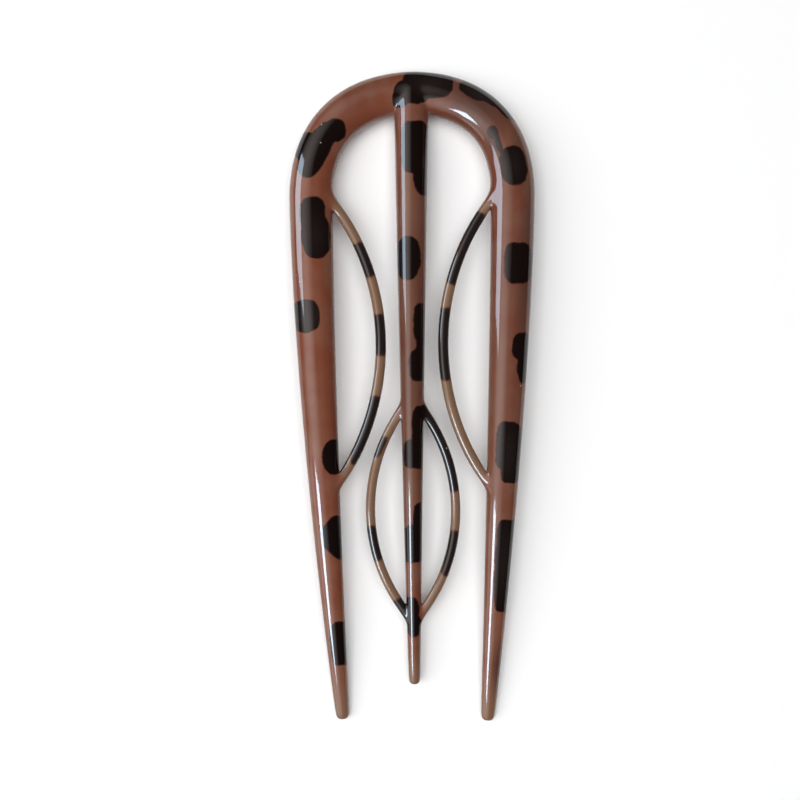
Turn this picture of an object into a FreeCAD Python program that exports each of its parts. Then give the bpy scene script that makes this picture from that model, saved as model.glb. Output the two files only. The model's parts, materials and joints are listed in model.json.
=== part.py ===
"""A three-pronged French hair pin, moulded in one piece.

The pin lies flat: +X across it, +Y from the prong tips to the crown, +Z up. The origin is on the surface that it
rests on, under the middle of its outline. Lengths are millimetres and angles are degrees.

An arched wire of oval section makes the crown and, tapering, the two outer prongs. A straight round prong hangs from
the middle of the crown. A thin bow springs inwards from each outer prong, and two more close round the centre prong
as a leaf. Seen from the side the whole pin arches gently, so that it rests on its crown and its two outer tips.
"""

import FreeCAD, Part
import math
import os

PARTS_FOLDER = "parts"
LEFT, RIGHT = -1, 1
SIDE_NAMES = {LEFT: "left", RIGHT: "right"}
UP = FreeCAD.Vector(0, 0, 1)

# Driving sizes: name, value, meaning

DRIVING_SIZES = [
    ("pin_length", 125.0, "top of the crown to the outer tips"),
    ("sag", 4.0, "how far the middle of the pin arches up, seen from the side"),
    ("arch_centre", 38.67, "height of the arch's centre above the middle of the pin"),
    ("arch_half_span", 19.3, "middle line to the outer prong's middle, at the foot of the arch"),
    ("arch_squareness", 0.042, "how far the arch's shoulders stand out from an ellipse, as a share"),
    ("crown_width", 8.25, "crown, inner edge to outer edge"),
    ("crown_depth", 6.3, "crown, front to back"),
    ("prong_inset", 5.3, "how far an outer prong leans in from arch to tip"),
    ("prong_lean_power", 1.33, "outer prongs lean in more towards the tip"),
    ("prong_tip_width", 2.4, "outer prong's tip, edge to edge"),
    ("prong_tip_depth", 2.1, "outer prong's tip, front to back"),
    ("prong_taper_power", 1.44, "outer prongs thin more towards the tip"),
    ("prong_tip_rounding", 0.9, "radius that rounds an outer prong's end"),
    ("centre_top", 59.6, "upper end of the centre prong, on the crest of the crown"),
    ("centre_tip", -55.5, "lower end of the centre prong"),
    ("centre_top_width", 6.6, "centre prong's diameter at its upper end"),
    ("centre_tip_width", 2.2, "centre prong's diameter at its tip"),
    ("centre_top_rounding", 2.6, "radius that rounds the centre prong's upper end"),
    ("centre_tip_rounding", 0.85, "radius that rounds the centre prong's tip"),
    ("side_bow_radius", 45.6, "arc of a side bow, seen from above"),
    ("side_bow_reach", 5.87, "side bow's nearest approach to the pin's middle line"),
    ("side_bow_middle", 9.7, "height of a side bow's middle above the middle of the pin"),
    ("side_bow_wire", 1.8, "diameter of a side bow"),
    ("side_bow_half_turn", 41.0, "half the angle that a side bow turns through, roots included"),
    ("leaf_radius", 32.9, "arc of a side of the leaf, seen from above"),
    ("leaf_reach", 8.1, "leaf's greatest distance from the pin's middle line"),
    ("leaf_middle", -21.6, "height of the leaf's middle above the middle of the pin"),
    ("leaf_wire", 1.6, "diameter of a side of the leaf"),
    ("bow_fillet", 0.35, "radius in the crotch where a bow leaves a prong"),
    ("crown_fillet", 0.8, "radius in the crotch where the centre prong leaves the crown"),
]

# How many cross-sections each wire is lofted through

ARCH_SPANS = 8
PRONG_SPANS = 7

# The document and its sheet of sizes

doc = FreeCAD.newDocument("hair_pin")
sheet = doc.addObject("Spreadsheet::Sheet", "Sizes")
for row, (alias, value, meaning) in enumerate(DRIVING_SIZES, start=1):
    sheet.set(f"A{row}", alias)
    sheet.set(f"B{row}", str(value))
    sheet.setAlias(f"B{row}", alias)
    sheet.set(f"C{row}", meaning)
doc.recompute()
size = {alias: float(sheet.get(alias)) for alias, _, _ in DRIVING_SIZES}

outer_tip = -size["pin_length"] / 2
crown_middle = (size["pin_length"] - size["crown_width"]) / 2
arch_rise = crown_middle - size["arch_centre"]
prong_run = size["arch_centre"] - outer_tip


def middle_height(y):
    """Height above the surface, at y, of the arched sheet that every middle line lies in."""
    tip_rest_y = outer_tip + size["prong_tip_rounding"]
    tip_rest = size["prong_tip_depth"] / 2
    crown_rest = size["crown_depth"] / 2
    share = (y - tip_rest_y) / (crown_middle - tip_rest_y)
    return tip_rest + share * (crown_rest - tip_rest) + 4 * size["sag"] * share * (1 - share)


def sheet_point(x, y):
    return FreeCAD.Vector(x, y, middle_height(y))


def sheet_normal(y):
    step = 0.01
    slope = (middle_height(y + step) - middle_height(y - step)) / (2 * step)
    return FreeCAD.Vector(0, -slope, 1).normalize()


def section_placement(path, station, seam_turn=0):
    """Where a section stands square to the path: its X points outwards, away from the bows, turned by seam_turn."""
    step = 1e-4
    along = (path(station + step) - path(station - step)).normalize()
    outwards = sheet_normal(path(station).y).cross(along).normalize()
    frontwards = along.cross(outwards)
    turn = FreeCAD.Rotation(outwards, frontwards, along, "ZXY").multiply(FreeCAD.Rotation(UP, seam_turn))
    return FreeCAD.Placement(path(station), turn)


def tapered(start, end, share, power=1):
    """A sheet expression for a size that runs from one named size to another."""
    return f"(Sizes.{start} - (Sizes.{start} - Sizes.{end}) * {share:.6f} ^ {power})"


def loft_through(name, sections):
    loft = doc.addObject("Part::Loft", name)
    loft.Label = name
    loft.Sections = sections
    loft.Solid = True
    doc.recompute()
    return loft


def rounded(name, base, choose_radius):
    """Round the closed edges of base where choose_radius, given an edge and its faces' kinds, names a radius."""
    rows = []
    for number, edge in enumerate(base.Shape.Edges, start=1):
        kinds = [face.Surface.TypeId for face in base.Shape.ancestorsOfType(edge, Part.Face)]
        radius = choose_radius(edge, kinds) if len(kinds) == 2 else None
        if radius:
            rows.append((number, radius, radius))
    fillet = doc.addObject("Part::Fillet", name)
    fillet.Label = name
    fillet.Base = base
    fillet.Edges = rows
    doc.recompute()
    return fillet


# Outer fork: the crown's arch and the two outer prongs

def fork_middle_line(station):
    """From -2 at the left tip, over the arch from -1 to 1, to 2 at the right tip."""
    if abs(station) <= 1:
        angle = math.radians(90 * (1 - station))
        shoulder = 1 + size["arch_squareness"] * math.sin(2 * angle) ** 2
        x = size["arch_half_span"] * shoulder * math.cos(angle)
        y = size["arch_centre"] + arch_rise * shoulder * math.sin(angle)
    else:
        share = abs(station) - 1
        half_span = size["arch_half_span"] - size["prong_inset"] * share ** size["prong_lean_power"]
        x = math.copysign(half_span, station)
        y = size["arch_centre"] - prong_run * share
    return sheet_point(x, y)


def fork_section(name, station):
    share = max(0, abs(station) - 1)
    section = doc.addObject("Part::Ellipse", name)
    for radius, across in (("MajorRadius", "width"), ("MinorRadius", "depth")):
        full = tapered(f"crown_{across}", f"prong_tip_{across}", share, "Sizes.prong_taper_power")
        section.setExpression(radius, f"{full} / 2")
    section.Placement = section_placement(fork_middle_line, station)
    return section


def make_outer_fork():
    down_a_prong = [1 + i / PRONG_SPANS for i in range(PRONG_SPANS + 1)]
    over_the_arch = [2 * i / ARCH_SPANS - 1 for i in range(1, ARCH_SPANS)]
    stations = [-station for station in reversed(down_a_prong)] + over_the_arch + down_a_prong
    sections = [fork_section(f"fork_section_{i}", station) for i, station in enumerate(stations, start=1)]
    wire = loft_through("fork_wire", sections)
    return rounded("outer_fork", wire, lambda edge, kinds: size["prong_tip_rounding"])


# Centre prong, whose upper end is sunk in the crown

def centre_middle_line(y):
    return sheet_point(0, y)


def centre_rounding(edge, kinds):
    at_top = edge.BoundBox.Center.y > 0
    return size["centre_top_rounding"] if at_top else size["centre_tip_rounding"]


def make_centre_prong():
    sections = []
    for i in range(PRONG_SPANS + 1):
        share = i / PRONG_SPANS
        y = size["centre_tip"] + (size["centre_top"] - size["centre_tip"]) * share
        section = doc.addObject("Part::Circle", f"centre_section_{i + 1}")
        section.setExpression("Radius", tapered("centre_tip_width", "centre_top_width", share) + " / 2")
        section.Placement = section_placement(centre_middle_line, y, seam_turn=90)
        sections.append(section)
    cone = loft_through("centre_cone", sections)
    return rounded("centre_prong", cone, centre_rounding)


# Bows: arcs of round wire, each in the flat plane that meets the arched sheet at its middle and its ends

def make_bow(name, kind, bulge, centre_x, half_turn, half_turn_expression):
    """A bow of one kind, side_bow or leaf, that bulges to the left or the right of its centre."""
    radius = size[f"{kind}_radius"]
    middle_y = size[f"{kind}_middle"]
    end_y = radius * math.sin(math.radians(half_turn))
    upper_z = middle_height(middle_y + end_y)
    lower_z = middle_height(middle_y - end_y)
    middle_z = middle_height(middle_y)
    chord_to_middle = bulge * radius * (1 - math.cos(math.radians(half_turn)))
    slope_y = (upper_z - lower_z) / (2 * end_y)
    slope_x = (middle_z - (upper_z + lower_z) / 2) / chord_to_middle
    centre = FreeCAD.Vector(centre_x, middle_y, middle_z - slope_x * bulge * radius)
    tilt = FreeCAD.Rotation(UP, FreeCAD.Vector(-slope_x, -slope_y, 1))
    first_angle = (0 if bulge == RIGHT else 180) - half_turn

    bow = doc.addObject("Part::Torus", name)
    bow.Label = name
    bow.setExpression("Radius1", f"Sizes.{kind}_radius")
    bow.setExpression("Radius2", f"Sizes.{kind}_wire / 2")
    bow.setExpression("Angle3", f"2 * {half_turn_expression}")
    bow.Placement = FreeCAD.Placement(centre, tilt.multiply(FreeCAD.Rotation(UP, first_angle)))
    return bow


def make_side_bow(side):
    centre_x = side * (size["side_bow_reach"] + size["side_bow_radius"])
    return make_bow(f"side_bow_{SIDE_NAMES[side]}", "side_bow", -side, centre_x,
                    size["side_bow_half_turn"], "Sizes.side_bow_half_turn")


def make_leaf_bow(side):
    """One side of the leaf, whose ends lie on the centre prong's middle line."""
    centre_from_middle = size["leaf_radius"] - size["leaf_reach"]
    half_turn = math.degrees(math.acos(centre_from_middle / size["leaf_radius"]))
    return make_bow(f"leaf_{SIDE_NAMES[side]}", "leaf", side, -side * centre_from_middle,
                    half_turn, "acos(1 - Sizes.leaf_reach / Sizes.leaf_radius)")


# One moulding, rounded in its crotches

def crotch_rounding(edge, kinds):
    """The closed edges between two sub-parts: each borders a bow, or the crown and the centre prong."""
    if "Part::GeomToroid" in kinds:
        return size["bow_fillet"]
    if kinds == ["Part::GeomBSplineSurface"] * 2 and edge.Length > size["centre_top_width"]:
        return size["crown_fillet"]
    return None


def make_hair_pin(pieces):
    moulding = doc.addObject("Part::MultiFuse", "moulding")
    moulding.Shapes = pieces
    doc.recompute()
    pin = rounded("hair_pin", moulding, crotch_rounding)
    pin.Placement.Base.z -= pin.Shape.optimalBoundingBox(False).ZMin
    doc.recompute()
    return pin


def check_document():
    for item in doc.Objects:
        if "Invalid" in item.State or "Error" in item.State:
            raise RuntimeError(f"{item.Label} did not compute: {item.State}")
        if hasattr(item, "Shape") and (item.Shape.isNull() or not item.Shape.isValid()):
            raise RuntimeError(f"{item.Label} has no valid shape")


pieces = [make_outer_fork(), make_centre_prong()]
for side in (LEFT, RIGHT):
    pieces += [make_side_bow(side), make_leaf_bow(side)]
hair_pin = make_hair_pin(pieces)
check_document()
if len(hair_pin.Shape.Solids) != 1:
    raise RuntimeError("the moulding fell into several solids")

os.makedirs(PARTS_FOLDER, exist_ok=True)
hair_pin.Shape.exportStep(os.path.join(PARTS_FOLDER, f"{hair_pin.Label}.step"))
box = hair_pin.Shape.optimalBoundingBox(False)
print(f"hair_pin: {box.XLength:.2f} x {box.YLength:.2f} x {box.ZLength:.2f} mm, {hair_pin.Shape.Volume:.0f} mm3")
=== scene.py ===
import json
import math
from collections import namedtuple

import bmesh
import bpy
import numpy as np
from bpy.props import FloatProperty, FloatVectorProperty, PointerProperty
from bpy.types import Operator, Panel, PropertyGroup
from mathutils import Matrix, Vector

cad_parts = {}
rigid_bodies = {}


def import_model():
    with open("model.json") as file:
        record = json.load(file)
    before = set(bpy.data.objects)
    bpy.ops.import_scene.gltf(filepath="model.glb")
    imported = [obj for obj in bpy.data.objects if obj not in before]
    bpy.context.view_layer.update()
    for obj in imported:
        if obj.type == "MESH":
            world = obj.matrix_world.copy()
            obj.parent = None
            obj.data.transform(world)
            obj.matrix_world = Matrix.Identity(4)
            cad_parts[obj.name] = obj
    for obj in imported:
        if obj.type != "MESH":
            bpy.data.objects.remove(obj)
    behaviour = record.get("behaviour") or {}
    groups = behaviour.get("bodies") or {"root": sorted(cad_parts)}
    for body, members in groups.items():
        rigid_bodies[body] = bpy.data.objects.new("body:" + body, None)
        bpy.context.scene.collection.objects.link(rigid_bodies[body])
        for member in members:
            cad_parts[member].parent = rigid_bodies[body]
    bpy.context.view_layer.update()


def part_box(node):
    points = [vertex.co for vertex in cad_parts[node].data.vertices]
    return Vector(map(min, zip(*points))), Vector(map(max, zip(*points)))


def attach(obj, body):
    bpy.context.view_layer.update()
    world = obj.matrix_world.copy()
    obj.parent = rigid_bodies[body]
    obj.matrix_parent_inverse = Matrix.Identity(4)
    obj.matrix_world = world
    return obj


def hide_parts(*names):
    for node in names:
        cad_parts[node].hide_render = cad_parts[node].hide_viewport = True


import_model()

bl_info = {
    "name": "French hair pin",
    "version": (1, 0, 0),
    "blender": (4, 5, 0),
    "location": "3D View > Sidebar > Hair pin",
    "description": "Models a moulded, tortoiseshell-spotted hair pin with side bows and a leaf",
    "category": "Add Mesh",
}

MM = 0.001
NODE = "hair_pin"
MOULDING = "hair_pin_moulding"

# Layers that the moulding's corners carry for its finish, painted shade, glow, light and reflection among
# them

THIN_LAYER = "thin"
SPOT_LAYER = "spot"
DUSKY_AND_SHADE_LAYER = "dusky_and_shade"
GLOW_LAYER = "warm_and_glow"
PAINTED_LIGHT_LAYER = "pale"
SPOT_REFLECTION_LAYER = "smoky"

# The photograph's camera, found by laying the pin's outline over it, and the millimetres that one of its
# pixels spans on the pin

PICTURE_SIDE = 800
CAMERA_PLACE = (8.28 * MM, -3.97 * MM, 210.2 * MM)
CAMERA_TURN = (0.0150, 0.0520, -0.0050)
CAMERA_LENS = 48.51
CAMERA_SENSOR = 36.0
CAMERA_NEAR = 10 * MM
PIXEL = CAMERA_PLACE[2] / MM * CAMERA_SENSOR / CAMERA_LENS / PICTURE_SIDE

# Soft lights. Windows and panels only show in the gloss, and fills only light the surfaces. A radiance is
# what a mirror would show of the lamp's middle, a level lamp faces straight down, and the fade is how many
# degrees from its middle a lamp has faded out, 90 being an even lamp with plain edges.

Lamp = namedtuple("Lamp", "name place size radiance colour gloss level fade")
WINDOW_BLUE = (0.66, 0.84, 1.0)
WALL_PINK = (1.0, 0.88, 0.86)
NEUTRAL = (1.0, 1.0, 1.0)
LAMPS = (
    Lamp("window_low", (-0.66, -0.44, 0.80), (0.40, 0.42), 26.0, WINDOW_BLUE, True, True, 90),
    Lamp("window_low_glow", (-0.62, -0.50, 0.84), (2.10, 2.10), 2.8, NEUTRAL, True, False, 42),
    Lamp("window_high", (-0.80, 0.32, 0.46), (0.44, 0.46), 9.0, WINDOW_BLUE, True, False, 90),
    Lamp("wall_left", (-1.05, -0.52, 0.28), (0.70, 0.44), 1.8, WALL_PINK, True, False, 90),
    Lamp("pale_ceiling", (-0.62, 0.40, 0.88), (1.75, 1.75), 2.1, WALL_PINK, True, False, 36),
    Lamp("fill_overhead", (0.0, 0.0, 1.30), (1.20, 1.20), 3.6, NEUTRAL, False, True, 90),
    Lamp("fill_left", (-0.85, -0.10, 0.85), (1.10, 1.10), 2.3, NEUTRAL, False, False, 90),
)
ROOM_RADIANCE = 0.95
FLOOR_SIDE = 1.0
FLOOR_ROUGHNESS = 0.75
FLOOR_GLOSS = 0.2

# Dark spots, charted one by one: centre and half sizes in the photograph's pixels, lean in degrees to the
# right
# of upright, and squareness, which is 2 for an ellipse and more for a squarer spot

Spot = namedtuple("Spot", "across down half_wide half_high lean squareness")
CROWN_SPOTS = (
    Spot(334.8, 130.1, 11.0, 11.5, 0, 2.2),
    Spot(317.0, 150.0, 12.0, 30.0, 28, 2.6),
    Spot(307.0, 147.0, 12.0, 15.0, 30, 2.2),
    Spot(428.0, 83.0, 25.5, 15.5, 0, 2.6),
    Spot(401.5, 94.0, 8.5, 14.0, 15, 2.4),
    Spot(416.0, 95.0, 12.5, 8.5, 0, 2.4),
    Spot(473.0, 91.0, 15.0, 7.0, 24, 2.3),
    Spot(489.0, 99.0, 12.0, 4.5, 36, 2.2),
    Spot(503.0, 110.5, 13.0, 3.0, 46, 2.2),
    Spot(493.0, 132.5, 5.5, 7.0, -20, 2.2),
    Spot(498.5, 144.5, 3.2, 9.0, -20, 2.2),
    Spot(513.5, 165.5, 13.0, 19.5, -10, 2.8),
)
LEFT_PRONG_SPOTS = (
    Spot(312.5, 214.0, 12.5, 17.0, 0, 3.0),
    Spot(316.0, 236.0, 14.8, 22.0, -4, 2.5),
    Spot(305.5, 316.0, 14.0, 16.5, 0, 2.5),
    Spot(334.5, 457.0, 12.5, 17.5, 0, 2.2),
    Spot(338.0, 537.0, 17.0, 22.0, -8, 1.6),
    Spot(341.5, 643.5, 11.0, 21.5, -4, 4.0),
)
CENTRE_PRONG_SPOTS = (
    Spot(415.0, 147.0, 13.0, 26.0, 0, 5.0),
    Spot(421.5, 174.0, 8.5, 21.5, -8, 2.6),
    Spot(408.0, 258.0, 12.5, 22.0, 0, 2.4),
    Spot(421.0, 323.0, 7.5, 20.0, 0, 3.0),
    Spot(422.5, 342.0, 6.0, 12.0, 0, 2.5),
    Spot(418.5, 365.5, 10.0, 15.5, 0, 2.6),
    Spot(420.0, 432.0, 8.5, 26.0, 0, 2.8),
    Spot(414.5, 454.0, 11.0, 14.5, 0, 4.0),
    Spot(419.5, 526.0, 6.5, 23.0, 0, 2.5),
    Spot(413.5, 544.0, 11.0, 19.0, 0, 3.2),
    Spot(407.5, 609.0, 11.5, 12.0, 0, 3.0),
    Spot(414.0, 625.0, 7.0, 12.0, 0, 2.2),
)
RIGHT_PRONG_SPOTS = (
    Spot(518.0, 263.0, 13.5, 20.5, 0, 3.6),
    Spot(521.0, 346.0, 8.8, 14.0, 8, 2.3),
    Spot(524.0, 362.0, 7.0, 21.5, 3, 2.3),
    Spot(508.5, 446.0, 12.5, 24.0, 3, 4.0),
    Spot(510.0, 467.0, 9.0, 16.0, 3, 4.0),
    Spot(505.0, 565.5, 10.0, 46.0, 3, 5.0),
)
BOW_SPOTS = (
    Spot(364.0, 260.0, 8.0, 17.5, -27, 4.0),
    Spot(381.0, 335.0, 8.0, 20.5, -4, 4.0),
    Spot(367.0, 431.0, 8.0, 36.0, 19, 4.0),
    Spot(466.0, 248.0, 8.0, 38.5, 22, 4.0),
    Spot(445.0, 344.0, 8.0, 35.5, 0, 4.0),
    Spot(380.0, 447.0, 3.5, 11.0, 26, 2.6),
    Spot(372.0, 544.0, 8.0, 17.0, -12, 4.0),
    Spot(400.5, 609.0, 6.0, 10.0, -30, 3.0),
    Spot(441.0, 447.0, 8.0, 46.0, -19, 4.0),
    Spot(452.0, 554.0, 8.0, 23.0, 10, 4.0),
)
SPOTS = (*CROWN_SPOTS, *LEFT_PRONG_SPOTS, *CENTRE_PRONG_SPOTS, *RIGHT_PRONG_SPOTS, *BOW_SPOTS)

# Broad tones, charted like the spots, with how strong each is at its middle: painted shade, glow, light and
# reflection, and a few darker patches of the acetate's own

Tone = namedtuple("Tone", "across down half_wide half_high lean strength")
# Darker brown: a darker patch of the acetate's own on the crown's inner right, and painted shade over the
# crown, the centre prong's right half and the right prong, the sides away from the lamps
DUSKY_AND_SHADE_TONES = (
    Tone(478.0, 105.0, 58.0, 30.0, 36, 0.9),
    Tone(362.0, 95.0, 52.0, 18.0, -35, 0.3),
    Tone(520.0, 160.0, 16.0, 60.0, -8, 0.7),
    Tone(527.0, 260.0, 16.0, 150.0, 4, 0.85),
    Tone(545.0, 350.0, 70.0, 330.0, 0, 0.5),
    Tone(413.0, 350.0, 24.0, 330.0, 0, 0.6),
    Tone(497.5, 668.0, 8.0, 34.0, 5, 0.8),
    Tone(491.0, 140.0, 6.0, 26.0, -25, 1.0),
)
# Painted light: the brown paled towards honey down the centre prong's left half, on the side towards the
# lamps and beside its highlight
PAINTED_LIGHT_TONES = (
    Tone(407.0, 200.0, 8.0, 45.0, 0, 0.45),
    Tone(409.0, 300.0, 9.0, 60.0, 0, 0.3),
    Tone(410.0, 490.0, 9.0, 40.0, 0, 0.3),
)
# Painted reflection: the spots' middles greyed where a pale reflection lies over them, on the left prong's
# upper spots, the crown's spots and the right prong's lower spots
SPOT_REFLECTION_TONES = (
    Tone(305.5, 316.0, 18.0, 20.0, 0, 0.9),
    Tone(316.0, 236.0, 18.0, 26.0, 0, 0.4),
    Tone(432.0, 82.0, 28.0, 14.0, 0, 0.5),
    Tone(484.0, 96.0, 34.0, 10.0, 32, 0.8),
    Tone(495.0, 137.0, 9.0, 16.0, -20, 1.0),
    Tone(513.5, 165.0, 15.0, 22.0, -10, 0.4),
    Tone(509.0, 455.0, 14.0, 34.0, 3, 0.5),
    Tone(505.5, 565.0, 12.0, 52.0, 3, 0.5),
)
# Painted glow: redder brown on the crown's inner left and down the left prong's right side, standing in for
# light that comes through the acetate onto the sides away from the lamps
GLOW_TONES = (
    Tone(358.0, 122.0, 44.0, 14.0, -32, 1.0),
    Tone(326.0, 185.0, 10.0, 50.0, 0, 0.7),
    Tone(328.0, 390.0, 14.0, 150.0, -4, 0.6),
)
TONES = {
    DUSKY_AND_SHADE_LAYER: DUSKY_AND_SHADE_TONES,
    GLOW_LAYER: GLOW_TONES,
    PAINTED_LIGHT_LAYER: PAINTED_LIGHT_TONES,
    SPOT_REFLECTION_LAYER: SPOT_REFLECTION_TONES,
}

# How the charted marks are laid down: what the spot layer holds far from every spot, how round a tone is and
# how fast it fades from its middle, and the least ratio, because a slope can't be taken at a mark's middle

FAR_FROM_SPOTS = -9.0
TONE_SQUARENESS = 2.0
TONE_FALL = 1.2
LEAST_RATIO = 1e-3

# Patterns of the acetate. A scale is per millimetre, a stretch is a scale along X, Y and Z, edges are the
# values between which one tone turns into the next, and a share is how much of a pattern counts.

DRIFT_SCALE = 0.16
STREAK_STRETCH = (0.35, 0.05, 0.35)
STREAK_DETAIL = 1.0
STREAK_SHARE = 0.6
DRIFT_EDGES = (-0.2, 0.2)
WAVE_SCALE = 0.55
WAVE_DETAIL = 3.0
WAVE_SHARE = 0.7
GRAIN_SCALE = 2.4
GRAIN_SHARE = 0.2
RIM_EDGES = (-0.20, 0.06)
MIDDLE_EDGES = (-0.04, 0.26)
THIN_EDGES = (0.15, 0.9)
THIN_SHRINK = 0.6
THIN_SMOKE = 0.7
FLECK_SCALE = 0.33
FLECK_EDGES = (0.03, 0.06)
FLECK_PATCH_SCALE = 0.11
FLECK_PATCH_EDGES = (0.06, 0.08)
FLECK_STRENGTH = 0.6
RIPPLE_SCALE = 0.35
RIPPLE_SHARE = 0.5
RIPPLE_STRENGTH = 0.22
RIPPLE_HEIGHT = 0.12 * MM
SCUFF_STRETCH = (5.0, 0.8, 5.0)
SCUFF_DETAIL = 3.0
SCUFF_SHARE = 0.08
POLISH_ROUGHNESS = 0.075
ACETATE_IOR = 1.49

# How an outer prong tapers and leans in, as powers of how far along it a place is

TAPER_POWER = 1.44
LEAN_POWER = 1.33

# The cage that smoothing rounds: how many sides its wires have, and how far apart their rings are. The arch's
# step is in stations, and so is the one that a ring's heading is taken over.

THICK_SIDES = 12
BOW_SIDES = 8
SMOOTHING_LEVELS = 3
ARCH_STEP = 0.125
HEADING_STEP = 0.001
FORK_TIP_SPACING = 6 * MM
FORK_BOW_SPACING = 6.5 * MM
CENTRE_TIP_SPACING = 5 * MM
CENTRE_LEAF_SPACING = 5.5 * MM
CENTRE_TOP_SPACING = 6.5 * MM
BOW_SPACING = 4.5 * MM

# The root of a bow: the prong's rings there and how far off its evenly spaced ones start, both in half
# lengths of the web, how far off the bow's own last ring is, and how many rounds the search for it takes

WEB_RINGS = (-1.9, -1, 0, 1, 1.9)
WEB_CLEARANCE = 3.5
BOW_STAND_OFF = 2.3 * MM
ROOT_ROUNDS = 12

# The tips: how far short of the tip a prong's last full ring is, and for each ring past that one, from the
# tip back, how far past it is and its share of the full size

FORK_TIP_LENGTH = 1.2 * MM
CENTRE_TIP_LENGTH = 1.1 * MM
TIP_DOME = ((1.2 * MM, 0.45), (0.9 * MM, 0.85))

# How the centre prong runs up the crown's front as a ridge. Turns are in degrees: 90 is the front of both
# wires, and 0 is the crown's inner side and the prong's right side. The room is what the bridge between them
# takes, and creased edges reach further across than the crease reach.

RIDGE_ROOM = 1.8 * MM
RIDGE_END = 105
RIDGE_BACK = -60
RIDGE_LIFT = 0.12 * MM
RIDGE_CREASE = 0.6
RIDGE_CREASE_REACH = 1.5 * MM

# Corners of the crown's middle ring, by turn: what those behind the ridge's end are slid to, which one goes
# to the ridge's end, and round which ones the crown is opened for the prong

CROWN_SLIDES = {120: 140, 90: 124}
CROWN_APEX = 60
CROWN_OPENED = (-30, 0, 30)

# Corners of the rings beside it, by turn: how far across and to what turn each is drawn in, on to the ridge's
# flank, and the slope that those rings lean by

RIDGE_FLANK = {60: (2.3 * MM, 66), 30: (3.4 * MM, 32), 0: (3.8 * MM, 0)}
BESIDE_LEAN = 0.2

# Corners of the ring between prong and crown, by turn: how far short of the crown's middle line each is held

RIDGE_HOLD = {
    90: -0.1 * MM,
    60: 2.3 * MM,
    30: 4.0 * MM,
    0: 4.9 * MM,
    -30: 4.0 * MM,
    -60: 2.5 * MM,
    -90: 2.9 * MM,
}

# Over what length the prongs pale towards their tips and how much, how far from the middle line the outer
# prongs start, and the share of the pin's half length past which only tips lie

TIP_FADE = 15 * MM
TIP_THINNESS = 0.75
OUTER_PRONG_FROM = 10 * MM
TIP_ZONE = 0.8

# A ring of a wire's cage: its centre, the way that the wire runs there, in radians from +X, and its size

Ring = namedtuple("Ring", "place heading width depth")


# Sizes and colours that a user would change


def length(name, description, millimetres):
    """A size in metres, shown as a length."""
    return FloatProperty(
        name=name, description=description, default=millimetres * MM, min=0.0, unit="LENGTH", precision=5
    )


class HairPinSizes(PropertyGroup):
    """Sizes of the moulding, measured flat as it leaves the mould"""

    half_span: length("Half span", "From the middle line to the crown's wire, at its spring", 19.3)
    spring_height: length("Spring height", "Where the crown's arch springs from the prongs", 38.67)
    rise: length("Arch rise", "From the spring of the arch to the crown's middle line", 19.705)
    shoulder: FloatProperty(
        name="Shoulder", description="How far the arch is squared out at its shoulders", default=0.037
    )
    crown_width: length("Crown width", "Width of the crown's wire, seen from the front", 8.35)
    crown_depth: length("Crown depth", "Thickness of the crown's wire, front to back", 6.3)
    tip_width: length("Tip width", "Width of an outer prong at its tip", 2.6)
    tip_depth: length("Tip depth", "Thickness of an outer prong at its tip", 2.1)
    inset: length("Tip inset", "How far the outer prongs lean in by their tips", 5.3)
    prong_length: length("Prong length", "Outer prong, from the spring of the arch to its tip", 101.17)
    centre_top: length("Centre prong top", "Height at which its ridge ends on the crown's front", 59.6)
    centre_length: length("Centre prong length", "From the end of its ridge to its tip", 114.85)
    centre_top_width: length("Centre top width", "Diameter of the centre prong at the crown", 6.85)
    centre_tip_width: length("Centre tip width", "Diameter of the centre prong at its tip", 2.25)
    side_bow_radius: length("Side bow radius", "Radius that each side bow is bent to", 45.6)
    side_bow_reach: length("Side bow reach", "From the middle line to a side bow's crest", 5.93)
    side_bow_height: length("Side bow height", "Height of the side bows' crests", 9.65)
    side_bow_wire: length("Side bow wire", "Thickness of the side bows", 2.0)
    leaf_radius: length("Leaf radius", "Radius that each side of the leaf is bent to", 32.9)
    leaf_reach: length("Leaf reach", "From the middle line to the leaf's crest", 8.1)
    leaf_drop: length("Leaf drop", "How far the leaf's crests lie below the pin's middle", 21.6)
    leaf_wire: length("Leaf wire", "Thickness of the leaf's sides", 1.8)
    web: length("Web", "Half length of the web at the root of a bow", 1.5)
    bend: FloatProperty(
        name="Bend", description="How far the pin is bent along its length", default=0.268, subtype="ANGLE"
    )


def colour(name, description, default):
    """A colour in linear light."""
    return FloatVectorProperty(
        name=name, description=description, default=default, subtype="COLOR", size=3, min=0.0, max=1.0
    )


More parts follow.
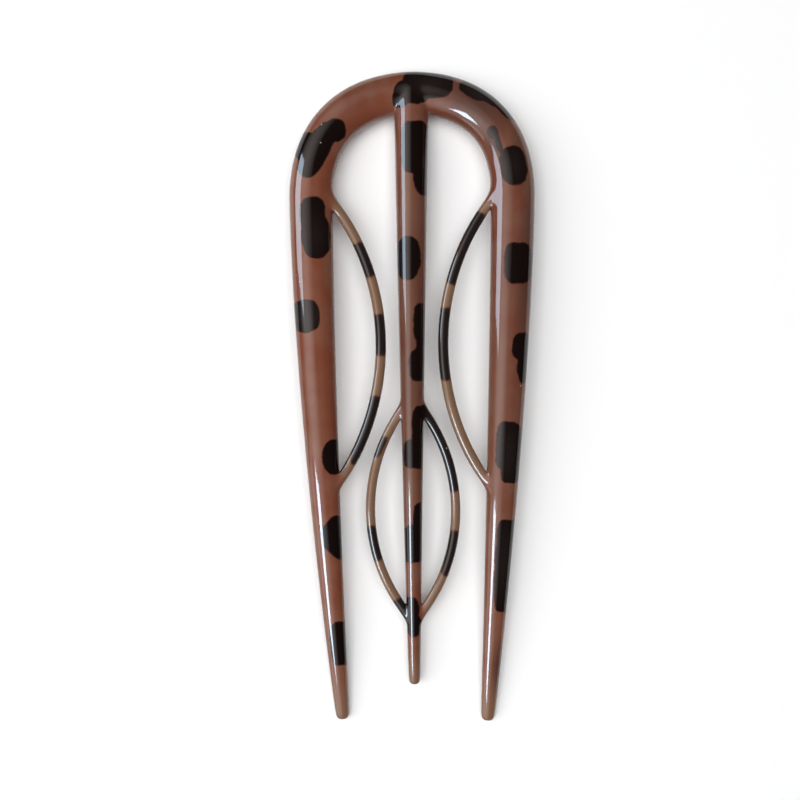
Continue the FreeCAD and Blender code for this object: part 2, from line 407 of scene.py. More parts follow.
class HairPinLook(PropertyGroup):
    """Colours of the acetate, some also used for painted glow, shade, light and reflection, and of the stage
    """

    brown: colour("Brown", "Clear brown of the thick wires", (0.207, 0.086, 0.054))
    # Warm brown: a redder tone that drifts through the acetate, and the colour of painted glow where light
    # comes through
    warm_and_glow: colour("Warm brown", "Redder brown that drifts through it", (0.184, 0.054, 0.029))
    # Dusky brown: the acetate's own darker patches, and the colour of painted shade on the sides away from
    # the lamps
    dusky_and_shade: colour("Dusky brown", "Darker brown beside the crown", (0.075, 0.036, 0.028))
    # Honey: the thin bows' own paler brown, and the colour of painted light on the centre prong
    honey_and_painted_light: colour("Honey", "Paler brown of the thin bows", (0.205, 0.116, 0.070))
    rim: colour("Spot rim", "Reddish edge of a dark spot", (0.040, 0.012, 0.007))
    dark: colour("Spot", "Near-black middle of a dark spot", (0.0078, 0.0043, 0.0037))
    # Smoky spot: the grey of a painted reflection over some charted spots, and the middle of a thin bow's
    # spot that some light gets through
    smoke_and_reflection: colour("Smoky spot", "Middle of a spot that some light gets through", (0.021, 0.0155, 0.0145))
    fleck: colour("Fleck", "Pale bubbles and dust under the surface", (0.5, 0.42, 0.36))
    floor: colour("Floor", "Pale floor", (0.93, 0.93, 0.93))
    room: colour("Room", "Pale backdrop beyond the floor", (1.0, 1.0, 1.0))


# Lines of the moulding, flat


def fork_ring(sizes, station):
    """The outer fork's ring: stations -2 and 2 are its tips, -1 and 1 the arch's springs, 0 the crown."""

    def place(at):
        side = math.copysign(1, at)
        if abs(at) <= 1:
            angle = math.pi / 2 * (1 - at)
            squared = 1 + sizes.shoulder * math.sin(2 * angle) ** 2
            across = sizes.half_span * squared * math.cos(angle)
            return Vector((across, sizes.spring_height + sizes.rise * squared * math.sin(angle), 0))
        along = abs(at) - 1
        across = sizes.half_span - sizes.inset * along**LEAN_POWER
        return Vector((side * across, sizes.spring_height - sizes.prong_length * along, 0))

    ahead = place(station + HEADING_STEP) - place(station - HEADING_STEP)
    taper = max(0.0, abs(station) - 1) ** TAPER_POWER
    width = sizes.crown_width + (sizes.tip_width - sizes.crown_width) * taper
    depth = sizes.crown_depth + (sizes.tip_depth - sizes.crown_depth) * taper
    return Ring(place(station), math.atan2(ahead.y, ahead.x), width, depth)


def fork_station(sizes, height):
    """Station of an outer prong at that height."""
    return 1 + (sizes.spring_height - height) / sizes.prong_length


def centre_ring(sizes, height):
    """The centre prong's ring at that height, on its way up to the crown."""
    share = (sizes.centre_top - height) / sizes.centre_length
    width = sizes.centre_top_width + (sizes.centre_tip_width - sizes.centre_top_width) * share
    return Ring(Vector((0, height, 0)), math.pi / 2, width, width)


def bow_ring(centre, radius, turn, wire, side):
    """A bow's ring, the turn being measured up from its crest."""
    place = Vector((side * (centre.x - radius * math.cos(turn)), centre.y + radius * math.sin(turn), 0))
    heading = math.atan2(-math.cos(turn), -side * math.sin(turn))
    return Ring(place, heading, wire, wire)


def fork_inner_side(sizes, height):
    """Distance from the middle line to the inner side of an outer prong."""
    ring = fork_ring(sizes, fork_station(sizes, height))
    return ring.place.x - ring.width / 2


def centre_side(sizes, height):
    """Distance from the middle line to the centre prong's side."""
    return centre_ring(sizes, height).width / 2


def root_height(centre, radius, surface, upward):
    """Height at which a bow's middle line meets a prong's surface, upward being 1 for its upper root."""
    height = centre.y
    for _ in range(ROOT_ROUNDS):
        gap = centre.x - surface(height)
        height = centre.y + upward * math.sqrt(radius**2 - gap**2)
    return height


def side_bow_centre(sizes):
    """Centre of the right side bow's circle."""
    return Vector((sizes.side_bow_reach + sizes.side_bow_radius, sizes.side_bow_height, 0))


def side_bow_roots(sizes):
    """Heights of a side bow's lower and upper roots on its prong."""
    centre, radius = side_bow_centre(sizes), sizes.side_bow_radius
    return [root_height(centre, radius, lambda y: fork_inner_side(sizes, y), upward) for upward in (-1, 1)]


def leaf_centre(sizes):
    """Centre of the circle of the leaf's left side, which lies to the right of the middle line."""
    return Vector((sizes.leaf_radius - sizes.leaf_reach, -sizes.leaf_drop, 0))


def leaf_roots(sizes):
    """Heights of the leaf's lower and upper roots on the centre prong."""
    centre, radius = leaf_centre(sizes), sizes.leaf_radius
    return [root_height(centre, radius, lambda y: -centre_side(sizes, y), upward) for upward in (-1, 1)]


def web_rings(root, web):
    """Heights of the rings that make and hold the web at a bow's root."""
    return [root + share * web for share in WEB_RINGS]


def spread(start, end, step):
    """Evenly spaced values after start, up to and including end."""
    count = max(1, round(abs(end - start) / step))
    return [start + (end - start) * index / count for index in range(1, count + 1)]


def domed(ring, way):
    """The smaller rings past a wire's last full one, which round its tip, from the tip back."""
    along = Vector((math.cos(ring.heading), math.sin(ring.heading), 0)) * way
    return [
        Ring(ring.place + along * past, ring.heading, ring.width * share, ring.depth * share)
        for past, share in TIP_DOME
    ]


# Work in edit mode


def moulding():
    """The moulding's object, which has to be there before a later step runs."""
    piece = bpy.data.objects.get(MOULDING)
    if piece is None:
        raise RuntimeError("The outer fork has to be modelled first")
    return piece


def edit(piece):
    """Goes into edit mode on that piece alone, with nothing selected."""
    if bpy.context.mode != "OBJECT":
        bpy.ops.object.mode_set(mode="OBJECT")
    bpy.ops.object.select_all(action="DESELECT")
    bpy.context.view_layer.objects.active = piece
    piece.select_set(True)
    bpy.ops.object.mode_set(mode="EDIT")
    bpy.context.tool_settings.mesh_select_mode = (True, True, True)
    bpy.ops.mesh.select_all(action="DESELECT")


def corners(piece):
    """The places of all the piece's corners, a row each."""
    if piece.mode == "EDIT":
        piece.update_from_editmode()
    places = np.empty(len(piece.data.vertices) * 3)
    piece.data.vertices.foreach_get("co", places)
    return places.reshape(-1, 3)


def cage_swell(sides):
    """How much wider a cage of that many sides is than the smooth wire that it makes."""
    return 3 / (2 + math.cos(2 * math.pi / sides))


def pulled_out(rings):
    """The rings' places, moved out of each bend by the sixth of it that smoothing pulls them in."""
    places = [ring.place for ring in rings]
    moved = [places[0]]
    for before, ring, after in zip(places, rings[1:-1], places[2:]):
        sag = (before + after - 2 * ring.place) / 6
        along = Vector((math.cos(ring.heading), math.sin(ring.heading), 0))
        moved.append(ring.place - (sag - along * sag.dot(along)))
    return [*moved, places[-1]]


def draw_wire(rings, sides):
    """Extrudes a closed wire through oval rings, each moved, turned and sized from the one before."""
    rings = [Ring(place, *ring[1:]) for place, ring in zip(pulled_out(rings), rings)]
    first = rings[0]
    bpy.ops.mesh.select_all(action="DESELECT")
    bpy.ops.mesh.primitive_circle_add(
        vertices=sides,
        radius=first.width / 2 * cage_swell(sides),
        fill_type="NGON",
        location=first.place,
        rotation=(math.pi / 2, 0, first.heading + math.pi / 2),
    )
    bpy.ops.transform.resize(value=(1, 1, first.depth / first.width), center_override=first.place)
    for last, ring in zip(rings, rings[1:]):
        bpy.ops.mesh.extrude_region_move(TRANSFORM_OT_translate={"value": ring.place - last.place})
        bpy.ops.transform.rotate(
            value=last.heading - ring.heading, orient_axis="Z", center_override=ring.place
        )
        across = ring.width / last.width
        bpy.ops.transform.resize(
            value=(across, across, ring.depth / last.depth), center_override=ring.place
        )


def nearest(verts, place):
    """The corner of the mesh that is nearest to that place."""
    return min(verts, key=lambda vert: (vert.co - place).length_squared)


def slide(piece, moves):
    """Moves corners of the mesh, each from its old place to its new one."""
    mesh = bmesh.from_edit_mesh(piece.data)
    for old, new in moves:
        bpy.ops.mesh.select_all(action="DESELECT")
        vert = nearest(mesh.verts, old)
        vert.select_set(True)
        mesh.select_flush_mode()
        bpy.ops.transform.translate(value=new - vert.co)


def open_and_bridge(piece, hubs, end, cuts=0):
    """Takes out the faces round some corners and a wire's end cap, and bridges the two openings."""
    mesh = bmesh.from_edit_mesh(piece.data)
    bpy.ops.mesh.select_all(action="DESELECT")
    for hub in hubs:
        for face in nearest(mesh.verts, hub).link_faces:
            face.select_set(True)
    caps = [face for face in mesh.faces if len(face.verts) > 4]
    min(caps, key=lambda face: (face.calc_center_median() - end).length_squared).select_set(True)
    bmesh.update_edit_mesh(piece.data)
    bpy.ops.mesh.delete(type="FACE")
    bpy.context.tool_settings.mesh_select_mode = (False, True, False)
    bpy.ops.mesh.select_non_manifold(
        extend=False, use_wire=False, use_boundary=True, use_multi_face=False,
        use_non_contiguous=False, use_verts=False,
    )
    bpy.ops.mesh.bridge_edge_loops(number_cuts=cuts, interpolation="LINEAR")
    bpy.context.tool_settings.mesh_select_mode = (True, True, True)


def thin_layer(mesh):
    """The layer that says how thin the moulding is at each corner, from 0 to 1."""
    return mesh.verts.layers.float.get(THIN_LAYER) or mesh.verts.layers.float.new(THIN_LAYER)


def draw_bow(piece, centre, radius, wire, side, roots):
    """Draws one thin bow between its two roots and webs both of its ends."""
    stand_off = BOW_STAND_OFF / radius
    low, high = (math.asin((root.y - centre.y) / radius) for root in roots)
    turns = [high - stand_off, *spread(high - stand_off, low + stand_off, BOW_SPACING / radius)]
    rings = [bow_ring(centre, radius, turn, wire, side) for turn in turns]
    draw_wire(rings, BOW_SIDES)
    bpy.ops.mesh.select_linked()
    mesh = bmesh.from_edit_mesh(piece.data)
    thin = thin_layer(mesh)
    for vert in mesh.verts:
        if vert.select:
            vert[thin] = 1.0
    open_and_bridge(piece, [roots[1]], rings[0].place)
    open_and_bridge(piece, [roots[0]], rings[-1].place)


# Finish


class Number:
    """A socket that gives a number, which Python's own operators can work on."""

    def __init__(self, finish, socket):
        self.finish = finish
        self.socket = socket

    def __add__(self, other):
        return self.finish.maths("ADD", self, other)

    def __sub__(self, other):
        return self.finish.maths("SUBTRACT", self, other)

    def __rsub__(self, other):
        return self.finish.maths("SUBTRACT", other, self)

    def __mul__(self, other):
        return self.finish.maths("MULTIPLY", self, other)

    __radd__ = __add__
    __rmul__ = __mul__


class Finish:
    """One material, built node by node."""

    def __init__(self, name):
        self.material = bpy.data.materials.new(name)
        self.material.use_nodes = True
        self.tree = self.material.node_tree
        self.tree.nodes.clear()

    def node(self, kind, settings=None, sockets=None):
        """Adds a node: its settings first, then a value or a link for each named or numbered socket."""
        node = self.tree.nodes.new("ShaderNode" + kind)
        for name, value in (settings or {}).items():
            setattr(node, name, value)
        for name, value in (sockets or {}).items():
            if isinstance(value, Number):
                value = value.socket
            if isinstance(value, bpy.types.NodeSocket):
                self.tree.links.new(value, node.inputs[name])
            else:
                node.inputs[name].default_value = value
        return node

    def maths(self, operation, *values):
        """Adds a Math node."""
        node = self.node("Math", {"operation": operation}, dict(enumerate(values)))
        return Number(self, node.outputs[0])

    def step(self, value, start, end):
        """Rises smoothly from 0 to 1 as the value goes from start to end."""
        node = self.node(
            "MapRange",
            {"interpolation_type": "SMOOTHSTEP"},
            {"Value": value, "From Min": start, "From Max": end},
        )
        return Number(self, node.outputs["Result"])

    def noise(self, place, scale, detail=2.0):
        """Soft noise about zero."""
        node = self.node("TexNoise", sockets={"Vector": place, "Scale": scale, "Detail": detail})
        return Number(self, node.outputs["Fac"]) - 0.5

    def attribute(self, name):
        """What the piece's layer of that name holds."""
        return Number(self, self.node("Attribute", {"attribute_name": name}).outputs["Fac"])

    def mix(self, factor, first, second):
        """Mixes two colours."""
        node = self.node("Mix", {"data_type": "RGBA"}, {0: factor, 6: first, 7: second})
        return node.outputs[2]

    def millimetres(self, scale=(1, 1, 1)):
        """The place on the piece in millimetres, each axis scaled as well."""
        place = self.node("TexCoord").outputs["Object"]
        stretch = [share / MM for share in scale]
        return self.node("Mapping", sockets={"Vector": place, "Scale": stretch}).outputs["Vector"]

    def shader(self, sockets):
        """Ends the material in a Principled shader with those sockets."""
        shader = self.node("BsdfPrincipled", sockets=sockets)
        self.node("OutputMaterial", sockets={"Surface": shader.outputs["BSDF"]})


def brown_and_painted_light(finish, look, place, thin):
    """The clear brown, which drifts between its tones and is paler where it is thin, with painted glow,
    painted shade and painted light laid over it.
    """
    streaks = finish.noise(finish.millimetres(STREAK_STRETCH), 1.0, STREAK_DETAIL)
    drift = finish.noise(place, DRIFT_SCALE) + streaks * STREAK_SHARE
    brown = finish.mix(finish.step(drift, *DRIFT_EDGES), (*look.brown, 1), (*look.warm_and_glow, 1))
    # Painted glow: redder where light would come through onto the sides away from the lamps
    brown = finish.mix(finish.attribute(GLOW_LAYER), brown, (*look.warm_and_glow, 1))
    # Painted shade on the sides away from the lamps, with a darker patch of the acetate's own
    brown = finish.mix(finish.attribute(DUSKY_AND_SHADE_LAYER), brown, (*look.dusky_and_shade, 1))
    # Paler towards honey where the moulding is thin, and painted light down the centre prong's left half
    return finish.mix(thin + finish.attribute(PAINTED_LIGHT_LAYER), brown, (*look.honey_and_painted_light, 1))


def spotted(finish, look, place, thin, brown):
    """The charted spots, with an uneven reddish rim and a near-black or smoky middle, the smoky one being a
    painted reflection on some spots and light through the thin bows.
    """
    wave = finish.noise(place, WAVE_SCALE, WAVE_DETAIL) * WAVE_SHARE
    edge = wave + finish.noise(place, GRAIN_SCALE) * GRAIN_SHARE
    inside = (finish.attribute(SPOT_LAYER) + edge) * (1 - thin * THIN_SHRINK)
    # Painted reflection greys the middles of some charted spots; the thin bows' spots are smoky because light
    # gets through them
    smoke_and_reflection = finish.attribute(SPOT_REFLECTION_LAYER) + thin * THIN_SMOKE
    middle = finish.mix(smoke_and_reflection, (*look.dark, 1), (*look.smoke_and_reflection, 1))
    rim = finish.mix(finish.step(inside, *RIM_EDGES), brown, (*look.rim, 1))
    return finish.mix(finish.step(inside, *MIDDLE_EDGES), rim, middle)


def flecked(finish, look, place, body):
    """A few pale bubbles and grains of dust under the surface."""
    cells = finish.node("TexVoronoi", sockets={"Vector": place, "Scale": FLECK_SCALE})
    near = 1 - finish.step(cells.outputs["Distance"], *FLECK_EDGES)
    chosen = finish.step(finish.noise(place, FLECK_PATCH_SCALE), *FLECK_PATCH_EDGES)
    return finish.mix(near * chosen * FLECK_STRENGTH, body, (*look.fleck, 1))


def tortoiseshell(look):
    """Polished brown acetate with dark spots, a faint ripple in its surface and fine scuffs along it, its
    colour carrying painted glow, shade, light and reflection.
    """
    finish = Finish("tortoiseshell_acetate")
    place = finish.millimetres()
    thin = finish.step(finish.attribute(THIN_LAYER), *THIN_EDGES)
    brown = brown_and_painted_light(finish, look, place, thin)
    body = flecked(finish, look, place, spotted(finish, look, place, thin, brown))
    ripple = finish.noise(place, RIPPLE_SCALE) * RIPPLE_SHARE
    bump = finish.node(
        "Bump", sockets={"Strength": RIPPLE_STRENGTH, "Distance": RIPPLE_HEIGHT, "Height": ripple}
    )
    scuffs = finish.noise(finish.millimetres(SCUFF_STRETCH), 1.0, SCUFF_DETAIL)
    finish.shader(
        {
            "Base Color": body,
            "Roughness": scuffs * SCUFF_SHARE + POLISH_ROUGHNESS,
            "IOR": ACETATE_IOR,
            "Normal": bump.outputs["Normal"],
        }
    )
    return finish.material


def picture_places(places, camera):
    """Where places on the pin fall in the photograph, in its pixels."""
    reach = CAMERA_LENS / CAMERA_SENSOR * PICTURE_SIDE
    turn = np.array(camera.rotation_euler.to_matrix())
    seen = (places - np.array(camera.location)) @ turn
    across = PICTURE_SIDE / 2 - reach * seen[:, 0] / seen[:, 2]
    down = PICTURE_SIDE / 2 + reach * seen[:, 1] / seen[:, 2]
    return across, down


def charted(mark, power, across, down):
    """How far out of a charted mark each place is, 1 being its edge, and how fast that grows by the pixel."""
    right, up = across - mark.across, mark.down - down
    lean = math.radians(mark.lean)
    wide = np.abs(right * math.cos(lean) - up * math.sin(lean)) / mark.half_wide
    high = np.abs(right * math.sin(lean) + up * math.cos(lean)) / mark.half_high
    ratio = np.maximum((wide**power + high**power) ** (1 / power), LEAST_RATIO)
    slope_wide = (wide / ratio) ** (power - 1) / mark.half_wide
    slope_high = (high / ratio) ** (power - 1) / mark.half_high
    return ratio, np.hypot(slope_wide, slope_high)


def write_layer(piece, name, values):
    """Gives the piece a layer with a number for each of its corners."""
    layer = piece.data.attributes.new(name, "FLOAT", "POINT")
    layer.data.foreach_set("value", values.astype(np.float32))


def chart(piece, camera):
    """Writes how many millimetres inside a spot each corner of the piece is, and how strong each tone is."""
    across, down = picture_places(corners(piece), camera)
    inside = np.full(len(across), FAR_FROM_SPOTS)
    for spot in SPOTS:
        ratio, slope = charted(spot, spot.squareness, across, down)
        inside = np.maximum(inside, (1 - ratio) / slope * PIXEL)
    write_layer(piece, SPOT_LAYER, inside)
    for name, tones in TONES.items():
        strength = np.zeros(len(across))
        for tone in tones:
            ratio, _ = charted(tone, TONE_SQUARENESS, across, down)
            strength = np.maximum(strength, tone.strength * np.exp(-((ratio * TONE_FALL) ** 2)))
        write_layer(piece, name, strength)


# Operators


class HAIRPIN_OT_outer_fork(Operator):
    """Extrude the crown and both outer prongs as one oval wire, from the left tip to the right one"""

    bl_idname = "hair_pin.outer_fork"
    bl_label = "Model outer fork"

    def execute(self, context):
        sizes = context.scene.hair_pin_sizes
        low, high = side_bow_roots(sizes)
        tip = sizes.spring_height - sizes.prong_length
        clear = WEB_CLEARANCE * sizes.web
        start = tip + FORK_TIP_LENGTH
        # The ring at the spring of the arch stands in for the last two at the upper web
        heights = [
            start,
            *spread(start, low - clear, FORK_TIP_SPACING),
            *web_rings(low, sizes.web),
            *spread(low + clear, high - clear, FORK_BOW_SPACING),
            *web_rings(high, sizes.web)[:-2],
        ]
        leg = [fork_station(sizes, height) for height in heights]
        arch = spread(1, -1, ARCH_STEP)[:-1]
        stations = [*(-station for station in leg), -1, *reversed(arch), 1, *reversed(leg)]
        rings = [fork_ring(sizes, station) for station in stations]
        rings = [*domed(rings[0], -1), *rings, *reversed(domed(rings[-1], 1))]

        piece = bpy.data.objects.new(MOULDING, bpy.data.meshes.new(MOULDING))
        context.scene.collection.objects.link(piece)
        edit(piece)
        draw_wire(rings, THICK_SIDES)
        bpy.ops.object.mode_set(mode="OBJECT")
        return {"FINISHED"}


class HAIRPIN_OT_centre_prong(Operator):
    """Extrude the round centre prong and run its upper end into the crown as a pointed ridge"""

    bl_idname = "hair_pin.centre_prong"
    bl_label = "Model centre prong"

    def execute(self, context):
        sizes = context.scene.hair_pin_sizes
        piece = moulding()
        low, high = leaf_roots(sizes)
        tip = sizes.centre_top - sizes.centre_length
        crown = fork_ring(sizes, 0)
        inner_side = crown.place.y - crown.width / 2
        top = inner_side - RIDGE_ROOM
        clear = WEB_CLEARANCE * sizes.web
        start = tip + CENTRE_TIP_LENGTH
        heights = [
            start,
            *spread(start, low - clear, CENTRE_TIP_SPACING),
            *web_rings(low, sizes.web),
            *spread(low + clear, high - clear, CENTRE_LEAF_SPACING),
            *web_rings(high, sizes.web),
            *spread(high + clear, top, CENTRE_TOP_SPACING),
        ]
        rings = [centre_ring(sizes, height) for height in heights]
        edit(piece)
        draw_wire([*domed(rings[0], -1), *rings], THICK_SIDES)
        self.join_crown(piece, crown, fork_ring(sizes, ARCH_STEP), rings[-1])
        bpy.ops.object.mode_set(mode="OBJECT")
        return {"FINISHED"}

    def join_crown(self, piece, crown, beside, ring):
        """Bridges the prong to the crown's inner side, and carries it up the crown's front as a ridge."""
        sizes = (crown.width, crown.depth, ring.width)
        wide, deep, radius = (size / 2 * cage_swell(THICK_SIDES) for size in sizes)
        fall = crown.place.y - beside.place.y
        # The crown's middle ring was pulled out of its bend, by a sixth of twice the fall
        middle = crown.place.y + fall / 3

        def on_crown(across, turn, lift=0.0):
            """A corner of the crown's cage, the turn in degrees from its inner side over its front."""
            turn = math.radians(turn)
            y = middle - wide * math.cos(turn) - fall * (across / beside.place.x) ** 2
            return Vector((across, y, deep * math.sin(turn) + lift))

        def on_prong(turn, short):
            """A corner of the prong's cage, some way short of the crown's middle line."""
            turn = math.radians(turn)
            return Vector((radius * math.cos(turn), middle - short, radius * math.sin(turn)))

        apex = on_crown(0, RIDGE_END, RIDGE_LIFT)
        ends = {90: apex, -90: on_crown(0, RIDGE_BACK)}
        moves = [(on_crown(0, old), on_crown(0, new)) for old, new in CROWN_SLIDES.items()]
        moves.append((on_crown(0, CROWN_APEX), apex))
        for turn, (across, new_turn) in RIDGE_FLANK.items():
            old_across = beside.place.x - wide * math.cos(math.radians(turn)) * BESIDE_LEAN
            for side in (-1, 1):
                for face in (-1, 1):
                    old = on_crown(side * old_across, face * turn)
                    new = on_crown(side * across, face * new_turn)
                    moves.append((old, new))
                    ends[face * turn if side > 0 else 180 - face * turn] = new
        slide(piece, moves)
        open_and_bridge(piece, [on_crown(0, turn) for turn in CROWN_OPENED], ring.place, cuts=1)
        self.hold_bridge(piece, ends, on_prong, middle - ring.place.y)
        self.crease_end(piece, apex)

    def hold_bridge(self, piece, ends, on_prong, start):
        """Moves the ring that bridging made, halfway from the prong to the crown, to where it is held."""
        moves = []
        for turn, place in ends.items():
            halfway = (on_prong(turn, start) + place) / 2
            moves.append((halfway, on_prong(turn, RIDGE_HOLD[turn if turn <= 90 else 180 - turn])))
        slide(piece, moves)

    def crease_end(self, piece, apex):
        """Creases the two edges that run down from the ridge's end along its flanks."""
        mesh = bmesh.from_edit_mesh(piece.data)
        top = nearest(mesh.verts, apex)
        bpy.ops.mesh.select_all(action="DESELECT")
        for edge in top.link_edges:
            other = edge.other_vert(top)
            if abs(other.co.x) > RIDGE_CREASE_REACH and other.co.y < top.co.y:
                edge.select_set(True)
        bpy.ops.transform.edge_crease(value=RIDGE_CREASE)


class HAIRPIN_OT_side_bows(Operator):
    """Extrude a thin bow inside each outer prong and web its ends to the prong"""

    bl_idname = "hair_pin.side_bows"
    bl_label = "Model side bows"

    def execute(self, context):
        sizes = context.scene.hair_pin_sizes
        piece = moulding()
        centre = side_bow_centre(sizes)
        edit(piece)
        for side in (-1, 1):
            roots = [
                Vector((side * fork_inner_side(sizes, height), height, 0)) for height in side_bow_roots(sizes)
            ]
            draw_bow(piece, centre, sizes.side_bow_radius, sizes.side_bow_wire, side, roots)
        bpy.ops.object.mode_set(mode="OBJECT")
        return {"FINISHED"}


class HAIRPIN_OT_leaf(Operator):
    """Extrude the leaf's two thin sides and web their ends to the centre prong"""

    bl_idname = "hair_pin.leaf"
    bl_label = "Model leaf"

    def execute(self, context):
        sizes = context.scene.hair_pin_sizes
        piece = moulding()
        centre = leaf_centre(sizes)
        edit(piece)
        for side in (-1, 1):
            roots = [
                Vector((-side * centre_side(sizes, height), height, 0)) for height in leaf_roots(sizes)
            ]
            draw_bow(piece, centre, sizes.leaf_radius, sizes.leaf_wire, side, roots)
        bpy.ops.object.mode_set(mode="OBJECT")
        return {"FINISHED"}


class HAIRPIN_OT_smooth_and_bend(Operator):
    """Smooth the whole moulding, bend it along its length and lay it on the surface"""

    bl_idname = "hair_pin.smooth_and_bend"
    bl_label = "Smooth and bend"

    def execute(self, context):
        sizes = context.scene.hair_pin_sizes
        piece = moulding()
        edit(piece)
        bpy.ops.mesh.select_all(action="SELECT")
        bpy.ops.mesh.normals_make_consistent(inside=False)
        self.pale_tips(piece, sizes)
        bpy.ops.object.mode_set(mode="OBJECT")
        bpy.ops.object.modifier_add(type="SUBSURF")
        smoothing = piece.modifiers[-1]
        smoothing.levels = smoothing.render_levels = SMOOTHING_LEVELS
        bpy.ops.object.modifier_apply(modifier=smoothing.name)
        self.bend(context, piece, sizes)
        self.lay_down(piece)
        bpy.ops.object.shade_smooth()
        return {"FINISHED"}

    def pale_tips(self, piece, sizes):
        """Marks the prongs as thinner and thinner towards their tips."""
        mesh = bmesh.from_edit_mesh(piece.data)
        thin = thin_layer(mesh)
        for vert in mesh.verts:
            tip = sizes.centre_top - sizes.centre_length
            if abs(vert.co.x) > OUTER_PRONG_FROM:
                tip = sizes.spring_height - sizes.prong_length
            vert[thin] = max(vert[thin], TIP_THINNESS * (1 - (vert.co.y - tip) / TIP_FADE))

    def bend(self, context, piece, sizes):
        """Bends the pin about a line across its middle, which lies along X."""
        axis = bpy.data.objects.new("bend_axis", None)
        axis.rotation_euler = (math.pi / 2, 0, math.pi / 2)
        context.scene.collection.objects.link(axis)
        context.view_layer.update()
        bpy.ops.object.modifier_add(type="SIMPLE_DEFORM")
        bending = piece.modifiers[-1]
        bending.deform_method = "BEND"
        bending.deform_axis = "Z"
        bending.origin = axis
        bending.angle = -sizes.bend
        bpy.ops.object.modifier_apply(modifier=bending.name)
        bpy.data.objects.remove(axis)

    def lay_down(self, piece):
        """Tilts the pin until crown and tips share a level, then brings it to the frame's own box."""
        edit(piece)
        bpy.ops.mesh.select_all(action="SELECT")
        low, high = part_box(NODE)
        places = corners(piece)
        top, bottom = places[places[:, 1] > 0], places[places[:, 1] < -high.y * TIP_ZONE]
        drop = top[:, 2].min() - bottom[:, 2].min()
        tilt = math.atan(drop / (high.y - low.y))
        bpy.ops.transform.rotate(value=tilt, orient_axis="X", center_override=(0, 0, 0))
        bpy.ops.object.mode_set(mode="OBJECT")
        places = corners(piece)
        own_low, own_high = Vector(places.min(0)), Vector(places.max(0))
        edit(piece)
        bpy.ops.mesh.select_all(action="SELECT")
        size, own_size = high - low, own_high - own_low
        bpy.ops.transform.resize(
            value=[size[axis] / own_size[axis] for axis in range(3)], center_override=own_low
        )
        bpy.ops.transform.translate(value=low - own_low)
        bpy.ops.object.mode_set(mode="OBJECT")


class HAIRPIN_OT_camera(Operator):
    """Place the camera where the photograph was taken from"""

    bl_idname = "hair_pin.camera"
    bl_label = "Place camera"

    def execute(self, context):
        bpy.ops.object.select_all(action="DESELECT")
        bpy.ops.object.camera_add(location=CAMERA_PLACE, rotation=CAMERA_TURN)
        camera = context.object
        camera.name = camera.data.name = "camera"
        camera.data.lens = CAMERA_LENS
        camera.data.sensor_width = CAMERA_SENSOR
        camera.data.clip_start = CAMERA_NEAR
        context.scene.camera = camera
        return {"FINISHED"}


class HAIRPIN_OT_stage(Operator):
    """Lay the pale floor and hang the soft lights"""

    bl_idname = "hair_pin.stage"
    bl_label = "Set the stage"

    def execute(self, context):
        look = context.scene.hair_pin_look
        bpy.ops.object.select_all(action="DESELECT")
        bpy.ops.mesh.primitive_plane_add(size=FLOOR_SIDE)
        floor = context.object
        floor.name = floor.data.name = "floor"
        paper = Finish("pale_floor")
        paper.shader(
            {
                "Base Color": (*look.floor, 1),
                "Roughness": FLOOR_ROUGHNESS,
                "Specular IOR Level": FLOOR_GLOSS,
            }
        )
        floor.data.materials.append(paper.material)

        world = bpy.data.worlds.new("studio")
        world.use_nodes = True
        background = world.node_tree.nodes["Background"]
        background.inputs["Color"].default_value = (*look.room, 1)
        background.inputs["Strength"].default_value = ROOM_RADIANCE
        world.cycles_visibility.diffuse = False
        world.cycles_visibility.glossy = False
        context.scene.world = world
        for lamp in LAMPS:
            self.hang(context, lamp)
        context.scene.view_settings.view_transform = "Standard"
        return {"FINISHED"}

    def hang(self, context, lamp):
        """Hangs one soft rectangular light, which faces straight down or the pin."""
        place = Vector(lamp.place)
        bpy.ops.object.light_add(type="AREA", location=place)
        light = context.object
        light.name = light.data.name = lamp.name
        aim = Vector((place.x, place.y, 0)) if lamp.level else Vector()
        light.rotation_euler = (aim - place).to_track_quat("-Z", "Y").to_euler()
        light.data.shape = "RECTANGLE"
        light.data.size, light.data.size_y = lamp.size
        light.data.color = lamp.colour
        fade = math.radians(lamp.fade)
        spread_share = 1 - fade / math.tan(fade)
        light.data.spread = 2 * fade
        light.data.energy = lamp.radiance * math.pi * lamp.size[0] * lamp.size[1] * spread_share
        light.visible_glossy = lamp.gloss
        light.visible_diffuse = not lamp.gloss


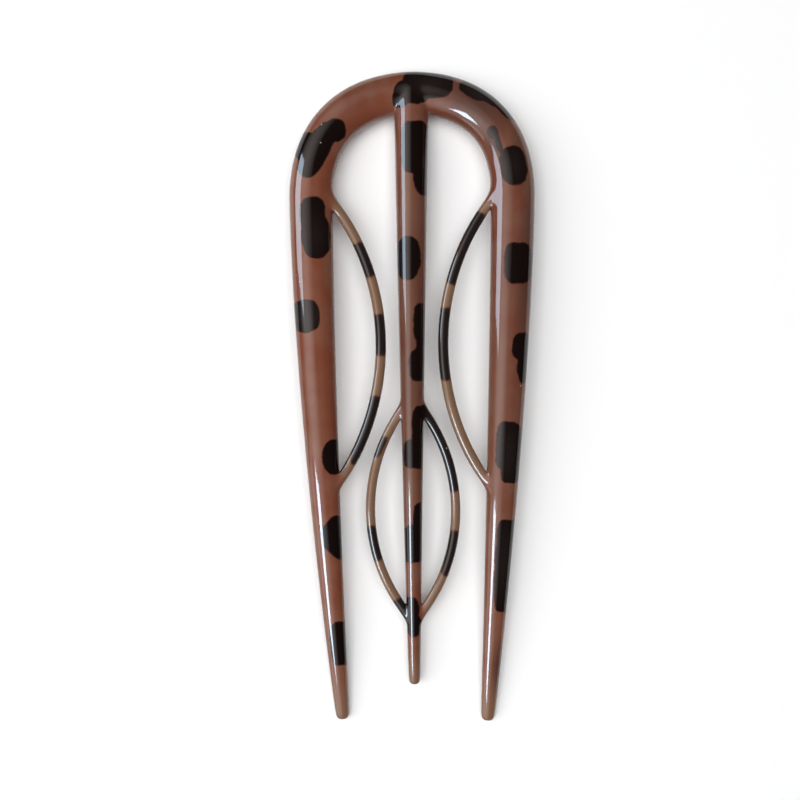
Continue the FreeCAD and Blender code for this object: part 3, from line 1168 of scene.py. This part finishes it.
class HAIRPIN_OT_finish(Operator):
    """Chart the dark spots and give the moulding its polished tortoiseshell finish"""

    bl_idname = "hair_pin.finish"
    bl_label = "Finish in tortoiseshell"

    def execute(self, context):
        piece = moulding()
        camera = context.scene.camera
        if camera is None:
            raise RuntimeError("The camera has to be placed first, because the spots are charted through it")
        chart(piece, camera)
        piece.data.materials.clear()
        piece.data.materials.append(tortoiseshell(context.scene.hair_pin_look))
        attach(piece, "root")
        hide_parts(NODE)
        return {"FINISHED"}


class HAIRPIN_PT_panel(Panel):
    """Lists the hair pin's sizes, its colours and the steps that model it"""

    bl_idname = "HAIRPIN_PT_panel"
    bl_label = "French hair pin"
    bl_space_type = "VIEW_3D"
    bl_region_type = "UI"
    bl_category = "Hair pin"

    def draw(self, context):
        scene = context.scene
        for group in (scene.hair_pin_sizes, scene.hair_pin_look):
            for name in type(group).__annotations__:
                self.layout.prop(group, name)
        for step in STEPS:
            self.layout.operator(step.bl_idname)


STEPS = (
    HAIRPIN_OT_outer_fork,
    HAIRPIN_OT_centre_prong,
    HAIRPIN_OT_side_bows,
    HAIRPIN_OT_leaf,
    HAIRPIN_OT_smooth_and_bend,
    HAIRPIN_OT_camera,
    HAIRPIN_OT_finish,
    HAIRPIN_OT_stage,
)
CLASSES = (HairPinSizes, HairPinLook, *STEPS, HAIRPIN_PT_panel)


def register():
    """Registers the classes and hangs the sizes and colours on the scene."""
    for cls in CLASSES:
        bpy.utils.register_class(cls)
    bpy.types.Scene.hair_pin_sizes = PointerProperty(type=HairPinSizes)
    bpy.types.Scene.hair_pin_look = PointerProperty(type=HairPinLook)


def unregister():
    """Takes back what register did."""
    del bpy.types.Scene.hair_pin_sizes
    del bpy.types.Scene.hair_pin_look
    for cls in reversed(CLASSES):
        bpy.utils.unregister_class(cls)


def main():
    register()
    bpy.ops.hair_pin.outer_fork()
    bpy.ops.hair_pin.centre_prong()
    bpy.ops.hair_pin.side_bows()
    bpy.ops.hair_pin.leaf()
    bpy.ops.hair_pin.smooth_and_bend()
    bpy.ops.hair_pin.camera()
    bpy.ops.hair_pin.finish()
    bpy.ops.hair_pin.stage()


if __name__ == "__main__":
    main()
